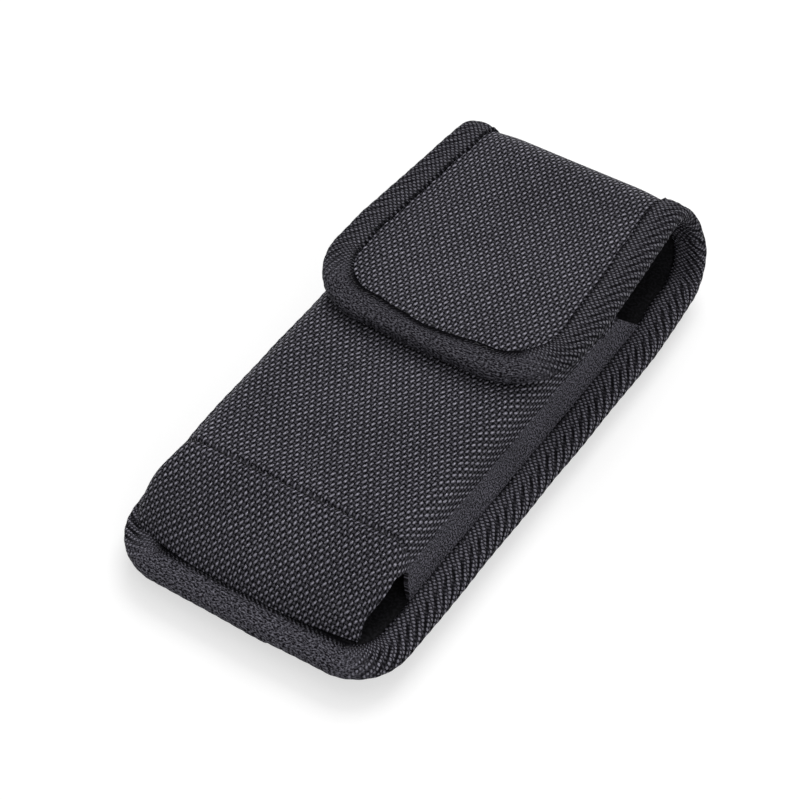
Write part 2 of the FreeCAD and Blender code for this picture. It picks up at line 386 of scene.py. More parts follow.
class Nodes:
    """Short calls for a material's node tree."""

    def __init__(self, name):
        self.material = bpy.data.materials.new(name)
        self.material.use_nodes = True
        self.tree = self.material.node_tree
        self.shader = self.tree.nodes["Principled BSDF"]

    def put(self, socket, value):
        """A link or a plain value into a socket."""
        if isinstance(value, bpy.types.NodeSocket):
            self.tree.links.new(value, socket)
        else:
            socket.default_value = value

    def math(self, operation, a, b=0.0, c=None):
        node = self.tree.nodes.new("ShaderNodeMath")
        node.operation = operation
        self.put(node.inputs[0], a)
        self.put(node.inputs[1], b)
        if c is not None:
            self.put(node.inputs[2], c)
        return node.outputs[0]

    def uv(self):
        """The weave coordinates, whole and as u and v."""
        node = self.tree.nodes.new("ShaderNodeUVMap")
        node.uv_map = "weave"
        split = self.tree.nodes.new("ShaderNodeSeparateXYZ")
        self.tree.links.new(node.outputs["UV"], split.inputs[0])
        return node.outputs["UV"], split.outputs["X"], split.outputs["Y"]

    def position(self):
        return self.tree.nodes.new("ShaderNodeTexCoord").outputs["Object"]

    def noise(self, vector, scale, detail=2.0, stretch=None):
        if stretch:
            mapping = self.tree.nodes.new("ShaderNodeMapping")
            mapping.inputs["Scale"].default_value = stretch
            self.tree.links.new(vector, mapping.inputs["Vector"])
            vector = mapping.outputs[0]
        node = self.tree.nodes.new("ShaderNodeTexNoise")
        node.inputs["Scale"].default_value = scale
        node.inputs["Detail"].default_value = detail
        self.tree.links.new(vector, node.inputs["Vector"])
        return node.outputs[0]

    def between(self, a, b, share):
        """Value that goes from a to b as share goes from 0 to 1."""
        rest = self.math("SUBTRACT", 1.0, share)
        return self.math("ADD", self.math("MULTIPLY", a, rest), self.math("MULTIPLY", b, share))

    def wave(self, value, period):
        """Sine of a length in metres over a period in millimetres."""
        return self.math("SINE", self.math("MULTIPLY", value, 2 * math.pi / (period * METRE)))

    def wander(self, uv, scale, detail, reach):
        """Slow shift of the weave, by up to about half the reach either way."""
        return self.math("MULTIPLY", self.math("SUBTRACT", self.noise(uv, scale, detail), 0.5), reach)

    def mix(self, factor, a, b):
        node = self.tree.nodes.new("ShaderNodeMix")
        node.data_type = "RGBA"
        self.put(node.inputs[0], factor)
        self.put(node.inputs[6], a)
        self.put(node.inputs[7], b)
        return node.outputs[2]

    def clamp_range(self, value, low, high, to_low=0.0, to_high=1.0):
        node = self.tree.nodes.new("ShaderNodeMapRange")
        self.put(node.inputs[0], value)
        for i, number in enumerate((low, high, to_low, to_high), 1):
            node.inputs[i].default_value = number
        return node.outputs[0]

    def bump(self, height, distance, strength=1.0):
        node = self.tree.nodes.new("ShaderNodeBump")
        node.inputs["Strength"].default_value = strength
        node.inputs["Distance"].default_value = distance
        self.tree.links.new(height, node.inputs["Height"])
        self.tree.links.new(node.outputs[0], self.shader.inputs["Normal"])

    def finish(self, colour, roughness, sheen=0.0, specular=0.5):
        self.put(self.shader.inputs["Base Color"], colour)
        self.put(self.shader.inputs["Roughness"], roughness)
        self.shader.inputs["Sheen Weight"].default_value = sheen
        self.put(self.shader.inputs["Specular IOR Level"], specular)
        return self.material


def grey(value):
    """Near-black cloth is faintly violet."""
    return (value * TINT[0], value * TINT[1], value * TINT[2], 1.0)


def woven(n, u, v, pitch, slant=0.0):
    """Plain weave: height from 0 to 1, and 1 where the yarns along v lie on top."""

    def parity(cell):
        """1 in even cells and -1 in odd ones."""
        odd = n.math("FLOORED_MODULO", n.math("FLOOR", cell), 2.0)
        return n.math("SUBTRACT", 1.0, n.math("MULTIPLY", odd, 2.0))

    def roundness(offset):
        """Height across a yarn, 1 along its middle."""
        square = n.math("MULTIPLY", offset, offset)
        return n.math("SUBTRACT", 1.0, n.math("MULTIPLY", square, 4.0))

    a = n.math("DIVIDE", u, pitch[0] * METRE)
    b = n.math("DIVIDE", v, pitch[1] * METRE)
    across_a = n.math("SUBTRACT", n.math("FRACT", a), 0.5)
    across_b = n.math("SUBTRACT", n.math("FRACT", b), 0.5)
    wave_v = n.math("MULTIPLY", n.math("SINE", n.math("MULTIPLY", b, math.pi)), parity(a))
    wave_u = n.math("MULTIPLY", n.math("SINE", n.math("MULTIPLY", a, math.pi)), parity(b))
    ridge = n.math("SUBTRACT", across_a, n.math("MULTIPLY", across_b, slant))
    yarn_v = n.math("ADD", n.math("MULTIPLY", wave_v, 0.5), roundness(ridge))
    yarn_u = n.math("ADD", n.math("MULTIPLY", wave_u, -0.5), roundness(across_b))
    top = n.math("GREATER_THAN", yarn_v, yarn_u)
    height = n.math("MAXIMUM", yarn_v, yarn_u)
    return n.clamp_range(height, 0.2, 1.5), top


def ballistic_nylon():
    """Coarse nylon: painted highlights on the yarn humps and painted shade in a dark checker of gaps;
    the crossing yarns are painted darker, as shade.
    """
    n = Nodes("ballistic_nylon")
    uv, u, v = n.uv()
    wander = n.wander(uv, 60.0, 1.0, 0.0012)
    jitter = n.wander(uv, 520.0, 1.0, 0.0008)
    u = n.math("ADD", u, n.math("ADD", wander, jitter))
    v = n.math("SUBTRACT", n.math("ADD", v, wander), jitter)
    height, top = woven(n, u, v, NYLON_PITCH, NYLON_SLANT)
    fibre = n.noise(uv, 1900.0, 2.0, (2.0, 0.7, 1.0))
    # Colour follows the weave's height: painted highlight on the humps, painted shade in the gaps.
    level = n.math("POWER", height, 2.4)
    level = n.math("MULTIPLY", level, n.clamp_range(fibre, 0.3, 0.7, 0.25, 1.7))
    # Painted shade: the yarns across v are painted darker than those along it, as if only one set
    # catches the light.
    level = n.math("MULTIPLY", level, n.clamp_range(top, 0.0, 1.0, 0.22, 1.0))
    patch = n.clamp_range(n.noise(uv, 25.0, 2.0), 0.3, 0.7, 0.85, 1.15)
    level = n.math("MULTIPLY", level, patch)
    colour = n.mix(level, grey(0.003), grey(0.32))
    n.bump(height, 0.0009, 1.0)
    return n.finish(colour, 0.5, 0.0, n.math("MULTIPLY", level, 0.7))


def run_between(outline, s_low, s_high):
    """Stretch of an outline's run, in metres, where s lies between two values."""
    run = around(outline)
    inside = run[(outline[:, 1] > s_low) & (outline[:, 1] < s_high)]
    return inside.min() * METRE, inside.max() * METRE


def binding_tape(name, rib_contrast, light, fine_run):
    """Woven tape: rows of small humps by its inner edge, slanting ribs over the rim, with painted
    highlights on the humps and painted shade between them and between the ribs.

    Along fine_run, round the end of the cloth, the tape lies flatter and shows fine streaks, and its
    inner edge carries painted shade between slanting stitches.
    """
    n = Nodes(name)
    uv, u, v = n.uv()
    wander = n.wander(uv, 130.0, 2.0, 0.0014)
    u = n.math("ADD", u, wander)

    # Humps, crossed by ribs away from the inner edge: painted highlights on the humps, painted shade
    # between the ribs
    humps, top = woven(n, u, n.math("ADD", v, wander), TAPE_PITCH)
    # Painted shade: the crossing yarns are painted nearly black, as if only one set catches the light.
    humps = n.math("MULTIPLY", n.math("POWER", humps, 1.6), n.clamp_range(top, 0.0, 1.0, 0.06, 1.0))
    rib = n.math("ADD", n.math("DIVIDE", u, RIB_PITCH * METRE), n.math("DIVIDE", v, RIB_RISE * METRE))
    rib = n.math("ADD", rib, n.math("MULTIPLY", n.noise(uv, 220.0, 1.0), 0.2))
    rib = n.math("SINE", n.math("MULTIPLY", rib, 2 * math.pi))
    rib = n.clamp_range(rib, -0.6, 0.3, 1.0 - rib_contrast, 1.0)
    ribbed = n.math("MULTIPLY", rib, n.math("MULTIPLY", humps, 1.5))
    level = n.between(humps, ribbed, n.clamp_range(v, 0.0030, 0.0050))
    fibre = n.noise(uv, 1700.0, 2.0, (1.0, 1.8, 1.0))
    level = n.math("MULTIPLY", level, n.clamp_range(fibre, 0.35, 0.65, 0.4, 1.6))

    # Painted shade along the inner edge, where the tape meets the cloth, broken by lighter stitches
    stitches = n.clamp_range(n.wave(u, EDGE_STITCH_PITCH), -0.6, 0.4)
    painted_edge_shade = n.clamp_range(v, 0.0006, 0.0018)
    level = n.math("MULTIPLY", level, n.math("MAXIMUM", painted_edge_shade, n.math("MULTIPLY", stitches, 0.45)))

    # The fine run, with painted shade in the crease by its inner edge, broken by slanting stitches
    streaks = n.clamp_range(n.noise(uv, 1200.0, 2.0, (1.0, 1.7, 1.0)), 0.42, 0.67, 0.01, 0.42)
    slanting = n.clamp_range(n.wave(n.math("SUBTRACT", u, v), END_STITCH_PITCH), -0.2, 0.6)
    slanting = n.math("MULTIPLY", slanting, n.clamp_range(v, 0.0008, 0.0024))
    streaks = n.math("MULTIPLY", streaks, n.math("MAXIMUM", slanting, n.clamp_range(v, 0.0020, 0.0038)))
    fine = n.clamp_range(u, fine_run[0] - FINE_FADE, fine_run[0] + FINE_FADE)
    fine = n.math("SUBTRACT", fine, n.clamp_range(u, fine_run[1] - FINE_FADE, fine_run[1] + FINE_FADE))
    level = n.between(level, streaks, fine)
    colour = n.mix(level, grey(0.004), grey(light))
    n.bump(level, 0.0007, 1.0)
    return n.finish(colour, 0.55, 0.0, n.math("MULTIPLY", level, 0.6))


def fine_cloth(name, dark, light, scale):
    """Smooth close cloth with a fine grain."""
    n = Nodes(name)
    uv = n.uv()[0]
    grain = n.noise(uv, scale, 3.0)
    slow = n.noise(uv, 60.0, 2.0)
    colour = n.mix(n.clamp_range(grain, 0.47, 0.57), grey(dark), grey(light))
    colour = n.mix(n.clamp_range(slow, 0.35, 0.75, 0.0, 0.3), colour, grey(dark * 0.8))
    n.bump(grain, 0.0003, 0.8)
    return n.finish(colour, 0.75, 0.0, 0.15)


def webbing_cloth():
    """Plain flat webbing, with painted shade in the gaps between its yarns."""
    n = Nodes("webbing")
    u, v = n.uv()[1:]
    height = woven(n, u, v, WEBBING_PITCH)[0]
    # Colour follows the weave's height: painted shade in the gaps between the yarns.
    colour = n.mix(height, grey(0.008), grey(0.05))
    n.bump(height, 0.0004, 0.8)
    return n.finish(colour, 0.6, 0.1, 0.4)


def plain_thread():
    """Dark sewing thread."""
    n = Nodes("thread")
    grain = n.noise(n.position(), 3000.0, 2.0)
    colour = n.mix(grain, grey(0.004), grey(0.02))
    n.bump(grain, 0.0001, 0.5)
    return n.finish(colour, 0.6, 0.1, 0.4)


def pile(name, scale, dark, light):
    """Hook or loop pile."""
    n = Nodes(name)
    grain = n.noise(n.uv()[0], scale, 4.0)
    colour = n.mix(n.clamp_range(grain, 0.35, 0.65), grey(dark), grey(light))
    n.bump(grain, 0.0008, 1.0)
    return n.finish(colour, 0.85, 0.3, 0.2)


def foam():
    """Foam pad, seen only at its edges."""
    n = Nodes("foam")
    grain = n.noise(n.position(), 1800.0, 3.0)
    colour = n.mix(grain, grey(0.006), grey(0.03))
    n.bump(grain, 0.0002, 0.6)
    return n.finish(colour, 0.9, 0.0, 0.2)


NYLON = ballistic_nylon()
BOTTOM_RUN = run_between(BACK_OUTLINE, -1.0, 3.0)
TIP_RUN = run_between(FLAP_OUTLINE, S_TIP - 9.0, S_TIP + 1.0)
TAPE = binding_tape("binding_tape", 0.94, 0.42, BOTTOM_RUN)
FLAP_TAPE = binding_tape("binding_tape_flap", 0.86, 0.30, TIP_RUN)
LINING = fine_cloth("lining_fabric", 0.004, 0.014, 1200.0)
STRETCH = fine_cloth("stretch_fabric", 0.006, 0.18, 2000.0)
WEBBING = webbing_cloth()
THREAD = plain_thread()
HOOK = pile("hook_tape", 700.0, 0.003, 0.03)
LOOP = pile("loop_tape", 500.0, 0.005, 0.035)
FOAM = foam()

# The strip's cloth

UNDER_TAPE = TAPE_WIDTH - 4.0
PUFF_RUN = 14.0
PUFF_THROUGH = 0.3
WEAVE_TURN = 0.06


def strip_grid(outline, s_from, s_to, step):
    """Grid of x and s over one stretch of the strip, up to where the tape hides it."""
    s = np.linspace(s_from, s_to, max(int((s_to - s_from) / step), 2) + 1)
    right = half_width(outline, s, 1, UNDER_TAPE)
    left = half_width(outline, s, -1, UNDER_TAPE)
    t = np.linspace(0, 1, max(int(2 * right.max() / step), 2) + 1)
    x = -left[:, None] * (1 - t) + right[:, None] * t
    return x, np.repeat(s[:, None], len(t), 1), left, right


def crowned(x, s, left, right, s_end, lift):
    """How far the padding stands proud, fading out under the tape."""
    edge = np.minimum(x + left[:, None], right[:, None] - x)
    edge = np.minimum(edge, np.abs(s - s_end))
    return lift * smooth(edge / PUFF_RUN)


def strip_layer(name, half, outer, inner, material, step, lift=0.0):
    """One ply of the strip, from its end to the middle of the fold."""
    if half == "back":
        outline, s_from, s_to, s_end = BACK_OUTLINE, UNDER_TAPE, S_MIDDLE, 0.0
    else:
        outline, s_from, s_to, s_end = FLAP_OUTLINE, S_MIDDLE, S_TIP - UNDER_TAPE, S_TIP
    x, s, left, right = strip_grid(outline, s_from, s_to, step)
    crown = crowned(x, s, left, right, s_end, lift)
    uneven = 0.12 * ripple(x, s, 5, 40.0) * smooth(crown / max(lift, 0.01))
    top = strip_point(x, s, outer - crown + uneven)
    bottom = strip_point(x, s, inner - crown * PUFF_THROUGH + uneven)
    piece = closed_sheet(name, top, bottom, turned(x, s, WEAVE_TURN), material)
    return bent(recalculated(piece), half)


def turned(x, y, angle):
    """Weave coordinates turned a little, as cut cloth never lies quite square."""
    c, s = math.cos(angle), math.sin(angle)
    return np.stack([x * c - y * s, x * s + y * c], -1)


def bent(piece, half):
    """Bakes the piece's place into its mesh. The folding line that its half of the strip crosses is
    found, but the cloth is not bent to it.
    """
    line_s = S_LOW_LINE if half == "back" else S_HIGH_LINE
    start = strip_point(0.0, line_s - BLEND_REACH, BLEND_DEPTH) * METRE
    end = strip_point(0.0, line_s + BLEND_REACH, BLEND_DEPTH) * METRE
    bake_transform(piece)
    return piece


foam_from = TAPE_T + SHELL_T
foam_to = foam_from + FOAM_T
inner_face = TAPE_T + PANEL_T
for half, lift in (("back", 0.5), ("flap", 0.75)):
    face = strip_layer(half + "_nylon", half, TAPE_T, foam_from, NYLON, 1.0, lift)
    pad = strip_layer(half + "_padding", half, foam_from + 0.05, foam_to - 0.1, FOAM, 2.5)
    lining = strip_layer(
        half + "_lining_cloth", half, foam_to, inner_face, LINING, 2.0)

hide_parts("back_shell", "fold_shell")
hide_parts("back_foam", "fold_foam")
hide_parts("back_lining", "fold_lining")
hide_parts("flap_shell", "fold_shell")
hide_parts("flap_foam", "fold_foam")
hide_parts("flap_lining", "fold_lining")

# Binding tape

STITCH_INSET = 1.5
STITCH_PITCH = 3.0
STITCH_LENGTH = 2.1
TIP_NARROWING = 2.2
RIM_REACH = 2.6
RIM_POWER = 0.8
FACE_POINTS = 12
INSIDE_POINTS = 7
RIB_HEIGHT = 0.13
# Where the tape's folded ends lie, just past the crest, and where it laps at the bottom
CREST_S = S_ARC_2 + QUARTER * 0.73 / 1.57 + 2.0
JOIN_X = 7.6
JOIN_SLANT = 0.6


def tape_profile():
    """Closed cross-section of the wrapped tape: distance in from the edge, and depth."""
    width = TAPE_WIDTH
    outside = []
    for e in np.linspace(width, RIM_REACH, FACE_POINTS):
        seam = math.exp(-((e - (width - STITCH_INSET)) / 0.55) ** 2)
        swell = math.sin(math.pi * (width - e) / (width - RIM_REACH)) if e < width else 0
        lip = 0.35 * math.exp(-((e - width) / 0.35) ** 2)
        outside.append((e, 0.32 * seam + lip - 0.12 * swell))
    for angle in np.linspace(90, 270, 15)[1:-1]:
        c, s = math.cos(math.radians(angle)), math.sin(math.radians(angle))
        e = RIM_REACH + RIM_REACH * math.copysign(abs(c) ** RIM_POWER, c)
        d = EDGE_T / 2 - EDGE_T / 2 * math.copysign(abs(s) ** RIM_POWER, s)
        outside.append((e, d))
    outside += [(e, EDGE_T - d) for e, d in outside[:FACE_POINTS][::-1]]
    inside = [(width, EDGE_T - TAPE_T), (4.0, EDGE_T - TAPE_T), (1.6, EDGE_T - 1.3)]
    inside += [(1.2, EDGE_T / 2), (1.6, 1.3), (4.0, TAPE_T), (width, TAPE_T)]
    return np.array(outside + inside)


def from_inner_edge(profile):
    """Distance round the tape from the nearer of its two inner edges."""
    along = around(profile)
    outer_run = along[len(profile) - 1 - INSIDE_POINTS]
    return np.clip(np.minimum(along, outer_run - along), 0, None)


def swept_tape(name, outline, half, material):
    """The wrapped tape along one outline, a little uneven, with soft slanting ridges."""
    profile = tape_profile()
    inset, level = profile[None, :, 0], profile[None, :, 1]
    across = from_inner_edge(profile)[None, :]
    run = around(outline)[:, None]
    normal = inward(outline)
    wobble = 0.15 * ripple(run, 0 * run, 11, 26.0)
    inner_wobble = 0.30 * ripple(run, 0 * run, 12, 17.0)
    near_tip = smooth((outline[:, 1] - S_TIP + 12) / 8) * smooth(1 - np.abs(outline[:, 0]) / 28)
    inner_wobble = inner_wobble - TIP_NARROWING * near_tip[:, None]
    e = inset + wobble + inner_wobble * smooth((inset - 4) / 5)
    depth = level + 0.08 * ripple(run, inset, 13, 12.0)
    phase = run / RIB_PITCH + across / RIB_RISE
    ridge = RIB_HEIGHT * np.sin(2 * math.pi * phase) * smooth((across - 3) / 3)
    e = e - 0.6 * ridge * smooth((3 - inset) / 2)
    face = np.sign(EDGE_T / 2 - level)
    depth = depth - ridge * face * smooth((inset - 0.5) / 2)
    depth = depth - face * smooth(across / 0.5) * tape_joins(outline, half, inset, level)
    x = outline[:, None, 0] + normal[:, None, 0] * e
    s = outline[:, None, 1] + normal[:, None, 1] * e
    rings = strip_point(x, s, depth)
    uv = np.stack(np.broadcast_arrays(run, across), -1)
    piece = recalculated(swept_tube(name, rings, uv, material))
    return bent(piece, half)


def tape_joins(outline, half, e, depth):
    """Steps where the tape laps over itself at the bottom, and its folded ends at the crest."""
    x = outline[:, 0][:, None]
    s = outline[:, 1][:, None]
    if half == "flap":
        end = 0.55 * np.exp(-((s - CREST_S) / 1.1) ** 2) * smooth((e - 2.5) / 2)
        return np.where(depth < EDGE_T / 2, end, 0)
    line = JOIN_X + JOIN_SLANT * (TAPE_WIDTH - e)
    lap = 0.4 * smooth((line - x) / 0.5) * smooth((x - line + 16) / 12)
    return np.where((s < 12) & (np.abs(x) < 30), lap, 0)


back_tape = swept_tape("back_edge_tape", BACK_OUTLINE, "back", TAPE)
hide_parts("back_binding", "fold_binding_left", "fold_binding_right")
flap_tape = swept_tape("flap_edge_tape", FLAP_OUTLINE, "flap", FLAP_TAPE)
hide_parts("flap_binding", "fold_binding_left", "fold_binding_right")

# Stitching


def capsules(name, centres, directions, normals, length, width):
    """Short thread stitches lying along the given directions."""
    rings = 5
    sides = 6
    points, faces, uvs = [], [], []
    for c, d, n in zip(centres, directions, normals):
        d = d / np.linalg.norm(d)
        side = np.cross(d, n)
        side /= np.linalg.norm(side)
        up = np.cross(side, d)
        start = len(points)
        for i in range(rings):
            t = i / (rings - 1) * 2 - 1
            radius = width / 2 * math.sqrt(max(1 - abs(t) ** 3, 0.02))
            sink = -abs(t) ** 2 * width * 0.35
            for j in range(sides):
                angle = 2 * math.pi * j / sides
                offset = side * math.cos(angle) + up * math.sin(angle)
                points.append(c + d * t * length / 2 + offset * radius + up * sink)
                uvs.append((t * length, angle))
        faces += grid_faces(rings, sides, start, wrap=True)
        faces.append([start + j for j in range(sides)][::-1])
        faces.append([start + (rings - 1) * sides + j for j in range(sides)])
    return recalculated(add_mesh(name, points, faces, uvs, THREAD))


def edge_stitches(name, outline, half, depth):
    """A row of stitches along the tape, near its inner edge."""
    line = resampled(outline, STITCH_PITCH)
    normal = inward(line)
    at = line + normal * (TAPE_WIDTH - STITCH_INSET)
    run = np.gradient(at, axis=0)
    centre = strip_point(at[:, 0], at[:, 1], depth)
    ahead = strip_point(at[:, 0] + run[:, 0] * 0.1, at[:, 1] + run[:, 1] * 0.1, depth)
    out = -1.0 if depth < EDGE_T / 2 else 1.0
    up = strip_point(at[:, 0], at[:, 1], depth + out) - centre
    piece = capsules(name, centre[1:-1], (ahead - centre)[1:-1], up[1:-1], STITCH_LENGTH, 0.42)
    return bent(piece, half)


STITCH_DEPTH = 0.28
edge_stitches("back_stitches_outside", BACK_OUTLINE, "back", STITCH_DEPTH)
edge_stitches("back_stitches_inside", BACK_OUTLINE, "back", EDGE_T - STITCH_DEPTH)
edge_stitches("flap_stitches_outside", FLAP_OUTLINE, "flap", STITCH_DEPTH)
edge_stitches("flap_stitches_inside", FLAP_OUTLINE, "flap", EDGE_T - STITCH_DEPTH)

# Front pocket

SLOPE_RUN = SEAM_Y - POCKET_BOTTOM
FULL_HEIGHT = Z_FRONT - Z_BASE


def pocket_rows(y_from, y_to, step):
    """Stations along the pocket."""
    return np.linspace(y_from, y_to, max(int(abs(y_to - y_from) / step), 2) + 1)


def on_slope(y):
    """Share of the slope passed, 0 at the stitched line and 1 at the lower edge."""
    return np.clip((SEAM_Y - y) / SLOPE_RUN, 0, 1)


def pocket_height(y):
    """Height of the pocket over the back, along its middle: level, then a full slope."""
    t = on_slope(y)
    slope = FULL_HEIGHT * (1 - t) ** SLOPE_POWER + SLOPE_BULGE * np.sin(math.pi * t)
    puff = LEVEL_PUFF * smooth((y - SEAM_Y) / 25.0)
    return np.maximum(slope + puff, 0.02)


def pocket_section(y, side):
    """Half cross-section at one station, from the middle down to the crease on the back.

    On the slope the side wall gives way to a free edge. It bellies out, more on the left than
    on the right, and draws in by the lower edge. Returns the points and the free edge's height.
    """
    height = float(pocket_height(y))
    t = float(on_slope(y))
    if side < 0:
        belly = LEFT_BELLY * math.sin(min((t + 0.06) * 2.4, math.pi / 2))
        toe = LEFT_TOE * float(smooth((t - 0.85) / 0.15))
    else:
        belly = RIGHT_BELLY * math.sin(min(t * 4.0, math.pi))
        toe = RIGHT_TOE * float(smooth((t - 0.2) / 0.6))
    top = POCKET_HALF - POCKET_TAPER + belly - toe
    if t < 0.16:
        base = max(top, POCKET_HALF)
    else:
        base = max(top + 0.3, POCKET_HALF * (1 - t) + (top + 0.5) * t)
    radius = min(POCKET_EDGE * (1 - 0.45 * t), height * 0.75)
    drop = min(LEVEL_DROP + (SLOPE_DROP - LEVEL_DROP) * float(smooth(t / 0.35)), height)
    whole = rounded([(0, height, 0), (top, height, radius), (base, 0, 0)], 0.25)
    return resampled(whole, 0.1), height - drop


def pocket_surface(rows, across, side):
    """One half of the pocket's outer face, on +X.

    across gives the distances along a row's section, from its reach up to the free edge
    and its whole length.
    """
    points, lengths = [], []
    for y in rows:
        section, edge_height = pocket_section(y, side)
        along = around(section)
        reach = float(np.interp(-edge_height, -section[:, 1], along))
        q = across(reach, along[-1])
        x = np.interp(q, along, section[:, 0])
        h = np.interp(q, along, section[:, 1])
        t = on_slope(y)
        bend = BOTTOM_BEND * t ** 2 * (x / POCKET_HALF) ** 2.5
        points.append(np.stack([x, y + bend, Z_BASE + h], -1))
        lengths.append(q)
    return np.array(points), np.array(lengths)


def surface_normals(points):
    """Unit normals of a grid of points, turned away from the origin."""
    n = np.cross(np.gradient(points, axis=0), np.gradient(points, axis=1))
    n /= np.maximum(np.linalg.norm(n, axis=2, keepdims=True), 1e-9)
    return n * np.sign((n * points).sum(2, keepdims=True).mean())


coarse_rows = pocket_rows(Y_MOUTH, POCKET_BOTTOM - 0.2, 0.8)
seam_rows = pocket_rows(SEAM_Y + 2.6, SEAM_Y - 2.6, 0.3)
y_rows = np.concatenate([
    coarse_rows[coarse_rows > SEAM_Y + 3], seam_rows, coarse_rows[coarse_rows < SEAM_Y - 3]])


def front_across(reach, total):
    """Even columns from the middle to the free edge."""
    return np.linspace(0, 1, FRONT_COLUMNS) * reach


right_points, right_lengths = pocket_surface(y_rows, front_across, 1)
left_points, left_lengths = pocket_surface(y_rows, front_across, -1)
front_points = np.concatenate([left_points[:, :0:-1] * [-1, 1, 1], right_points], 1)
front_lengths = np.concatenate([-left_lengths[:, :0:-1], right_lengths], 1)
edge_distance = np.concatenate(
    [left_lengths[:, -1:] - left_lengths[:, :0:-1], right_lengths[:, -1:] - right_lengths], 1)
middle_line = front_points[:, FRONT_COLUMNS - 1]
front_run = np.repeat(around(middle_line)[:, None], front_points.shape[1], 1)
front_normals = surface_normals(front_points)
crown = FRONT_CROWN * smooth(edge_distance / 20.0)
uneven = FRONT_UNEVEN * ripple(front_points[..., 0], front_points[..., 1], 21, 45.0)
pinch = SEAM_DEPTH * np.exp(-((front_points[..., 1] - SEAM_Y) / SEAM_SPREAD) ** 2)
pinch = pinch * smooth(edge_distance / 9.0)
front_points = front_points + front_normals * (crown + uneven - pinch)[..., None]
front_uv = turned(front_lengths, front_run, -WEAVE_TURN)


def front_layer(name, outer, inner, material):
    """One ply of the front, between two depths under its face."""
    top = front_points - front_normals * outer
    bottom = front_points - front_normals * inner
    piece = closed_sheet(name, top, bottom, front_uv, material)
    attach(recalculated(piece), "root")
    return piece


front_nylon = front_layer("front_nylon", 0.0, SHELL_T, NYLON)
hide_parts("front_shell")
front_padding = front_layer("front_padding", SHELL_T + 0.05, SHELL_T + FOAM_T - 0.05, FOAM)
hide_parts("front_foam")
front_cloth = front_layer("front_lining_cloth", SHELL_T + FOAM_T, PANEL_T, LINING)
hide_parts("front_lining")

# Gussets


def down_the_wall(share):
    """Where a section is taken, from under the front's edge to the crease."""

    def across(reach, total):
        start = reach - GUSSET_LAP
        return np.array([start + (total - start) * share])

    return across


def gusset(side):
    """Stretch wall from under the front's edge to the crease; its upper edge slants."""
    count = int((Y_SIDE_MOUTH - Y_GUSSET) / 1.0) + 1
    t = np.linspace(0, 1, GUSSET_COLUMNS)
    share = np.linspace(0, 1, count)
    high = Y_MOUTH - 0.3 + (Y_SIDE_MOUTH - Y_MOUTH) * t
    low = Y_GUSSET + GUSSET_RISE * (1 - t) ** 2
    points, lengths = [], []
    for s in share:
        row, row_length = [], []
        for y, k in zip(high + (low - high) * s, t):
            cell, length = pocket_surface([min(y, Y_MOUTH)], down_the_wall(k), side)
            row.append([cell[0, 0, 0], y, cell[0, 0, 2]])
            row_length.append(length[0, 0])
        points.append(row)
        lengths.append(row_length)
    points, lengths = np.array(points), np.array(lengths)
    normals = surface_normals(points)
    end = np.minimum(share, 1 - share) * (Y_SIDE_MOUTH - Y_GUSSET)
    hem = 0.55 * np.exp(-(end / 1.2) ** 2)
    sag = -0.35 * np.sin(math.pi * t)[None, :] + 0.25 * ripple(points[..., 0], points[..., 1], 31, 30.0)
    sag = sag * np.sin(math.pi * t)[None, :]
    outer = points + normals * (sag - 0.15 + hem[:, None] * 0.4)[..., None]
    inner = outer - normals * (GUSSET_T + hem[:, None])[..., None]
    uv = np.stack([lengths, points[..., 1]], -1)
    flip = np.array([side, 1, 1])
    hand = "right" if side > 0 else "left"
    piece = recalculated(closed_sheet("gusset_cloth_" + hand, outer * flip, inner * flip, uv, STRETCH))
    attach(piece, "root")
    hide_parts("gusset_" + hand)


gusset(1)
gusset(-1)

# Mouth binding


def mouth_tape():
    """Tape wrapped over the front's upper edge."""
    reach = TAPE_WIDTH - TAPE_T
    profile = []
    for t in np.linspace(0, 1, 8):
        profile.append((-reach * (1 - t), 0.7 * (1 - 0.3 * t)))
    for angle in np.linspace(80, -80, 7):
        c, s = math.cos(math.radians(angle)), math.sin(math.radians(angle))
        profile.append((TAPE_T * c, -PANEL_T / 2 + (PANEL_T / 2 + 0.6) * s))
    for t in np.linspace(0, 1, 8):
        profile.append((-reach * t, -PANEL_T - 0.5))
    for t in np.linspace(0, 1, 4):
        profile.append((-reach * (1 - t), -PANEL_T + 0.02))
    for t in np.linspace(0, 1, 4)[1:]:
        profile.append((-reach * t, -0.02))
    profile = np.array(profile)
    section = front_points[0]
    normals = front_normals[0]
    rings = section[:, None] + normals[:, None] * profile[None, :, 1, None]
    rings = rings + np.array([0, 1.0, 0]) * profile[None, :, 0, None]
    uv = np.stack(np.broadcast_arrays(front_lengths[0][:, None], around(profile)[None]), -1)
    piece = recalculated(swept_tube("mouth_edge_tape", rings, uv, TAPE))
    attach(piece, "root")
    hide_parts("mouth_binding")


mouth_tape()

# Front seam stitches


def seam_stitches():
    """Stitches in the groove across the front."""
    row = int(np.argmin(np.abs(y_rows - SEAM_Y)))
    line = resampled(front_points[row] + front_normals[row] * 0.05, 2.6)
    run = np.gradient(line, axis=0)
    normal = np.tile([0, -0.2, 1.0], (len(line), 1))
    piece = capsules("front_seam_stitches", line[1:-1], run[1:-1], normal[1:-1], 1.9, 0.5)
    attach(piece, "root")


seam_stitches()

# Hook and loop, belt loop


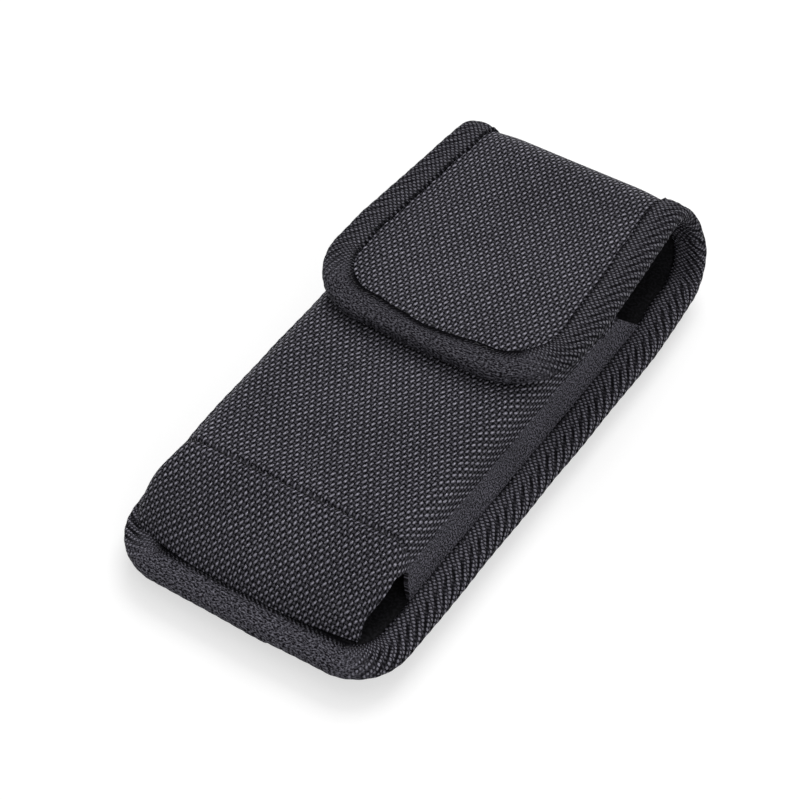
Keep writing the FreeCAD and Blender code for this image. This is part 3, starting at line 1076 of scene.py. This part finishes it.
def tape_patch(name, node, low, high, face_up, material, body):
    """Rectangle of pile tape with soft rounded edges."""
    gx, gy = np.meshgrid(np.linspace(low[0], high[0], 52), np.linspace(low[1], high[1], 32))
    edge = np.minimum(np.minimum(gx - low[0], high[0] - gx), np.minimum(gy - low[1], high[1] - gy))
    body_t = high[2] - low[2]
    drop = body_t * 0.75 * np.exp(-(edge / 0.7) ** 2) + 0.25 * np.exp(-((edge - 2.0) / 0.5) ** 2)
    rough = 0.10 * ripple(gx, gy, 41, 4.0)
    if face_up:
        top = np.stack([gx, gy, high[2] - drop + rough], -1)
        bottom = np.stack([gx, gy, 0 * gx + low[2]], -1)
    else:
        top = np.stack([gx, gy, 0 * gx + high[2]], -1)
        bottom = np.stack([gx, gy, low[2] + drop + rough], -1)
    piece = recalculated(closed_sheet(name, top, bottom, np.stack([gx, gy], -1), material))
    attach(piece, body)
    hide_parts(node)


tape_patch("hook_pile", "hook_patch", hook_low, hook_high, False, HOOK, "flap")
tape_patch("loop_pile", "loop_patch", loop_tape_low, loop_tape_high, True, LOOP, "root")

LOOP_TAB = 14.0
LOOP_RAMP = 7.0
LOOP_BEND = 5
LOOP_STITCH_PITCH = 2.7
LOOP_SEAM_INSET = 3


def belt_loop():
    """Webbing sewn at both ends, standing off the back between them."""
    low, high = loop_low[1], loop_high[1]
    tab = Z_TAPE + TAPE_T - WEBBING_T
    route = [(low, tab, 0), (low + LOOP_TAB, tab, LOOP_BEND)]
    route += [(low + LOOP_TAB + LOOP_RAMP, 0, LOOP_BEND), (high - LOOP_TAB - LOOP_RAMP, 0, LOOP_BEND)]
    route += [(high - LOOP_TAB, tab, LOOP_BEND), (high, tab, 0)]
    line = rounded(route, 1.0)
    half = loop_high[0]
    x = np.linspace(-half, half, 40)
    edge = half - np.abs(x)
    thick = WEBBING_T * (1 - 0.5 * np.exp(-(edge / 0.6) ** 2))
    gx = np.repeat(x[None], len(line), 0)
    gy = np.repeat(line[:, :1], len(x), 1)
    gz = np.repeat(line[:, 1:], len(x), 1)
    middle = gz + WEBBING_T / 2
    outer = np.stack([gx, gy, middle - thick / 2], -1)
    inner = np.stack([gx, gy, middle + thick / 2], -1)
    run = np.arange(len(line), dtype=float)
    uv = np.stack(np.broadcast_arrays(gx, run[:, None]), -1)
    piece = recalculated(closed_sheet("belt_webbing", outer, inner, uv, WEBBING))
    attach(piece, "root")
    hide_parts("belt_loop")
    belt_loop_stitches(low, high, half, tab + 0.02)


def belt_loop_stitches(low, high, half, z):
    """A box of stitches on each sewn end."""
    centres, directions = [], []
    side = half - LOOP_SEAM_INSET
    for y_end, sign in ((low, 1), (high, -1)):
        box = [y_end + sign * 2.5, y_end + sign * (LOOP_TAB - 2.0)]
        for y in box:
            for x in np.arange(-side, side + 0.1, LOOP_STITCH_PITCH):
                centres.append((x, y, z))
                directions.append((1, 0, 0))
        for x in (-side, side):
            for y in np.arange(min(box) + 1.5, max(box), LOOP_STITCH_PITCH):
                centres.append((x, y, z))
                directions.append((0, 1, 0))
    down = np.tile([0, 0, -1.0], (len(centres), 1))
    directions = np.array(directions, float)
    thread = capsules("belt_webbing_stitches", np.array(centres), directions, down, 2.0, 0.4)
    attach(thread, "root")


belt_loop()

# Floor, light and camera

FLOOR_HALF = 6.0
FLOOR_DROP = 0.0004
FLOOR_GLOW = 0.58
WORLD_LIGHT = 0.30


def stage():
    """White floor. The camera sees it paler than it lights the case."""
    floor_mesh = bpy.data.meshes.new("floor")
    size = FLOOR_HALF
    corners = [(-size, -size, 0), (size, -size, 0), (size, size, 0), (-size, size, 0)]
    floor_mesh.from_pydata(corners, [], [(0, 1, 2, 3)])
    floor = bpy.data.objects.new("floor", floor_mesh)
    floor.location.z = -FLOOR_DROP
    bpy.context.scene.collection.objects.link(floor)
    material = bpy.data.materials.new("floor")
    material.use_nodes = True
    nodes = material.node_tree.nodes
    links = material.node_tree.links
    nodes.clear()
    diffuse = nodes.new("ShaderNodeBsdfDiffuse")
    diffuse.inputs["Color"].default_value = (0.86, 0.86, 0.87, 1)
    pale = nodes.new("ShaderNodeBsdfDiffuse")
    pale.inputs["Color"].default_value = (0.5, 0.5, 0.5, 1)
    glow = nodes.new("ShaderNodeEmission")
    glow.inputs["Strength"].default_value = FLOOR_GLOW
    both = nodes.new("ShaderNodeAddShader")
    ray = nodes.new("ShaderNodeLightPath")
    choose = nodes.new("ShaderNodeMixShader")
    output = nodes.new("ShaderNodeOutputMaterial")
    links.new(pale.outputs[0], both.inputs[0])
    links.new(glow.outputs[0], both.inputs[1])
    links.new(ray.outputs["Is Camera Ray"], choose.inputs[0])
    links.new(diffuse.outputs[0], choose.inputs[1])
    links.new(both.outputs[0], choose.inputs[2])
    links.new(choose.outputs[0], output.inputs["Surface"])
    floor_mesh.materials.append(material)


def world():
    """White background, dimmer as a light than as the camera sees it."""
    scene_world = bpy.data.worlds.new("studio")
    bpy.context.scene.world = scene_world
    scene_world.use_nodes = True
    nodes = scene_world.node_tree.nodes
    links = scene_world.node_tree.links
    background = nodes["Background"]
    ray = nodes.new("ShaderNodeLightPath")
    strength = nodes.new("ShaderNodeMapRange")
    links.new(ray.outputs["Is Camera Ray"], strength.inputs[0])
    strength.inputs[3].default_value = WORLD_LIGHT
    strength.inputs[4].default_value = 1.0
    links.new(strength.outputs[0], background.inputs["Strength"])
    background.inputs["Color"].default_value = (1, 1, 1, 1)


def area_light(name, place, aim, size, power):
    """Rectangular lamp, sizes in metres and power in watts."""
    light = bpy.data.lights.new(name, "AREA")
    light.shape = "RECTANGLE"
    light.size, light.size_y = size
    light.energy = power
    lamp = bpy.data.objects.new(name, light)
    lamp.location = place
    lamp.rotation_euler = (Vector(aim) - Vector(place)).to_track_quat("-Z", "Y").to_euler()
    bpy.context.scene.collection.objects.link(lamp)


def lights():
    """Soft light from behind and above, with a weaker one from the front right."""
    aim = (0, 0, 0.02)
    area_light("key", (-0.2, 0.85, 1.2), aim, (1.1, 0.8), 11.8)
    area_light("top", (0.1, 0.1, 1.5), aim, (1.4, 1.4), 5.0)
    area_light("fill", (1.1, -0.7, 0.9), aim, (1.2, 1.0), 6.0)


# The photograph's view, worked out from the outline of the case
CAMERA_AZIMUTH = 37.74
CAMERA_ELEVATION = 47.77
CAMERA_ROLL = -4.6
CAMERA_DISTANCE = 782.47
CAMERA_TARGET = (-6.54, -0.12, 5.7)
CAMERA_FOCUS_PX = 2671.09
FRAME_PX = 800


def camera():
    """The photograph's camera, tilted a little about its own axis."""
    azimuth = math.radians(CAMERA_AZIMUTH)
    elevation = math.radians(CAMERA_ELEVATION)
    roll = math.radians(CAMERA_ROLL)
    flat = math.cos(elevation)
    back = Vector((math.sin(azimuth) * flat, -math.cos(azimuth) * flat, math.sin(elevation)))
    level = Vector((math.cos(azimuth), math.sin(azimuth), 0))
    up = back.cross(level)
    right = level * math.cos(roll) + up * math.sin(roll)
    top = up * math.cos(roll) - level * math.sin(roll)
    data = bpy.data.cameras.new("camera")
    data.sensor_width = 36.0
    data.lens = CAMERA_FOCUS_PX * data.sensor_width / FRAME_PX
    data.clip_start = 0.01
    lens = bpy.data.objects.new("camera", data)
    place = (Vector(CAMERA_TARGET) + back * CAMERA_DISTANCE) * METRE
    lens.matrix_world = Matrix.Translation(place) @ Matrix((right, top, back)).transposed().to_4x4()
    bpy.context.scene.collection.objects.link(lens)
    bpy.context.scene.camera = lens


stage()
world()
lights()
camera()
bpy.context.scene.view_settings.view_transform = "Standard"
